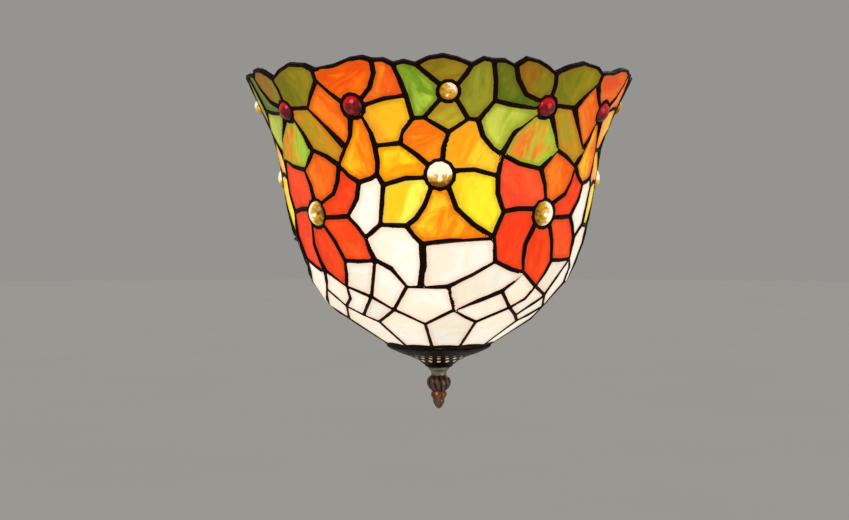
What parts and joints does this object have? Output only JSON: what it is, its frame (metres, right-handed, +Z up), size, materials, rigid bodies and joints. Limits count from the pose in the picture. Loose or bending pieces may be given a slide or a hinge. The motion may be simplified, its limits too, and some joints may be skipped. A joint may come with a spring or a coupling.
{
  "type": "stained glass ceiling light",
  "caption": "Bell-shaped leaded-glass ceiling light with jewelled flowers, scalloped rim, pierced metal cap and turned finial, hung from a ceiling pan on a centre rod.",
  "frame": {"origin": "centre of the ceiling face, midway between the crossbar's two fixing slots", "axes": "+Z up into the ceiling, +X along the crossbar, -Y towards the front of the light"},
  "size_m": [0.307, 0.307, 0.267],
  "materials": {
    "bright_steel": "zinc plated",
    "green_screw": "lacquered",
    "yellow_brass": "plain drawn",
    "antique_brass": "antiqued",
    "dark_bronze": "dark bronze patina",
    "black_moulding": "moulded phenolic",
    "black_rubber": "matt",
    "wire_cover": "soft PVC",
    "green_cover": "soft PVC",
    "orange_cap": "moulded",
    "bulb_glass": "frosted, lit",
    "bulb_metal": "rolled",
    "solder": "dark patina",
    "orange_glass": "streaky opalescent",
    "green_glass": "streaky opalescent",
    "leaf_glass": "streaky opalescent",
    "yellow_glass": "mottled opalescent",
    "red_glass": "opalescent",
    "white_glass": "opalescent",
    "red_jewel": "pressed jewel",
    "clear_jewel": "pressed jewel"
  },
  "bodies": {
    "ceiling_mount": {"crossbar": "bright_steel", "ground_screw": "green_screw", "ground_wire": "green_cover", "canopy_screws": "bright_steel", "cap_nuts": "antique_brass", "ceiling_pan": "dark_bronze", "wire_grommets": "black_rubber", "nipple": "yellow_brass", "lock_nut": "bright_steel", "pan_washer": "bright_steel", "pan_nut": "bright_steel", "socket_bracket": "bright_steel", "holder_screws": "bright_steel", "rod_coupling": "yellow_brass", "centre_rod": "yellow_brass", "holder_wires": "wire_cover", "wire_connectors": "orange_cap", "lamp_holder_front": "black_moulding", "lamp_holder_back": "black_moulding", "screw_shell_front": "yellow_brass", "screw_shell_back": "yellow_brass", "contact_front": "yellow_brass", "contact_back": "yellow_brass"},
    "bulb_tip_front": {"bulb_tip_front": "bulb_metal"},
    "bulb_front": {"bulb_glass_front": "bulb_glass", "bulb_cap_front": "bulb_metal"},
    "bulb_tip_back": {"bulb_tip_back": "bulb_metal"},
    "bulb_back": {"bulb_glass_back": "bulb_glass", "bulb_cap_back": "bulb_metal"},
    "shade": {"leading": "solder", "bottom_ring": "antique_brass", "red_jewels": "red_jewel", "clear_jewels": "clear_jewel", "orange_flower_1": "orange_glass", "orange_flower_2": "orange_glass", "orange_flower_3": "orange_glass", "orange_flower_4": "orange_glass", "green_flower_1": "green_glass", "green_flower_2": "green_glass", "green_flower_3": "green_glass", "green_flower_4": "green_glass", "leaf_flower_1": "leaf_glass", "leaf_flower_2": "leaf_glass", "leaf_flower_3": "leaf_glass", "leaf_flower_4": "leaf_glass", "yellow_flower_1": "yellow_glass", "yellow_flower_2": "yellow_glass", "yellow_flower_3": "yellow_glass", "yellow_flower_4": "yellow_glass", "red_flower_1": "red_glass", "red_flower_2": "red_glass", "red_flower_3": "red_glass", "red_flower_4": "red_glass", "white_glass_1": "white_glass", "white_glass_2": "white_glass", "white_glass_3": "white_glass", "white_glass_4": "white_glass", "vented_cap": "dark_bronze"},
    "cap_washer": {"cap_washer": "antique_brass"},
    "finial": {"finial": "antique_brass"}
  },
  "joints": [
    {"name": "shade_lower", "type": "slide", "parent": "ceiling_mount", "child": "shade", "axis": [0, 0, -1], "range_m": [0, 0.16]},
    {"name": "finial_travel", "type": "slide", "parent": "shade", "child": "cap_washer", "axis": [0, 0, -1], "range_m": [0, 0.0101]},
    {"name": "finial_turn", "type": "hinge", "parent": "cap_washer", "child": "finial", "pos_m": [0, 0, -0.24], "axis": [0, 0, -1], "range_deg": [0, 3600]},
    {"name": "bulb_front_out", "type": "slide", "parent": "ceiling_mount", "child": "bulb_tip_front", "axis": [0, -0.8192, -0.5736], "range_m": [0, 0.0255]},
    {"name": "bulb_front_turn", "type": "hinge", "parent": "bulb_tip_front", "child": "bulb_front", "pos_m": [0, -0.018, -0.05], "axis": [0, -0.8192, -0.5736], "range_deg": [0, 2520]},
    {"name": "bulb_back_out", "type": "slide", "parent": "ceiling_mount", "child": "bulb_tip_back", "axis": [0, 0.8192, -0.5736], "range_m": [0, 0.0255]},
    {"name": "bulb_back_turn", "type": "hinge", "parent": "bulb_tip_back", "child": "bulb_back", "pos_m": [0, 0.018, -0.05], "axis": [0, 0.8192, -0.5736], "range_deg": [0, 2520]}
  ],
  "couplings": [
    {"joint": "finial_travel", "follows": "finial_turn", "m_per_rad": 0.00015915},
    {"joint": "bulb_front_out", "follows": "bulb_front_turn", "m_per_rad": 0.00057774},
    {"joint": "bulb_back_out", "follows": "bulb_back_turn", "m_per_rad": 0.00057774}
  ]
}
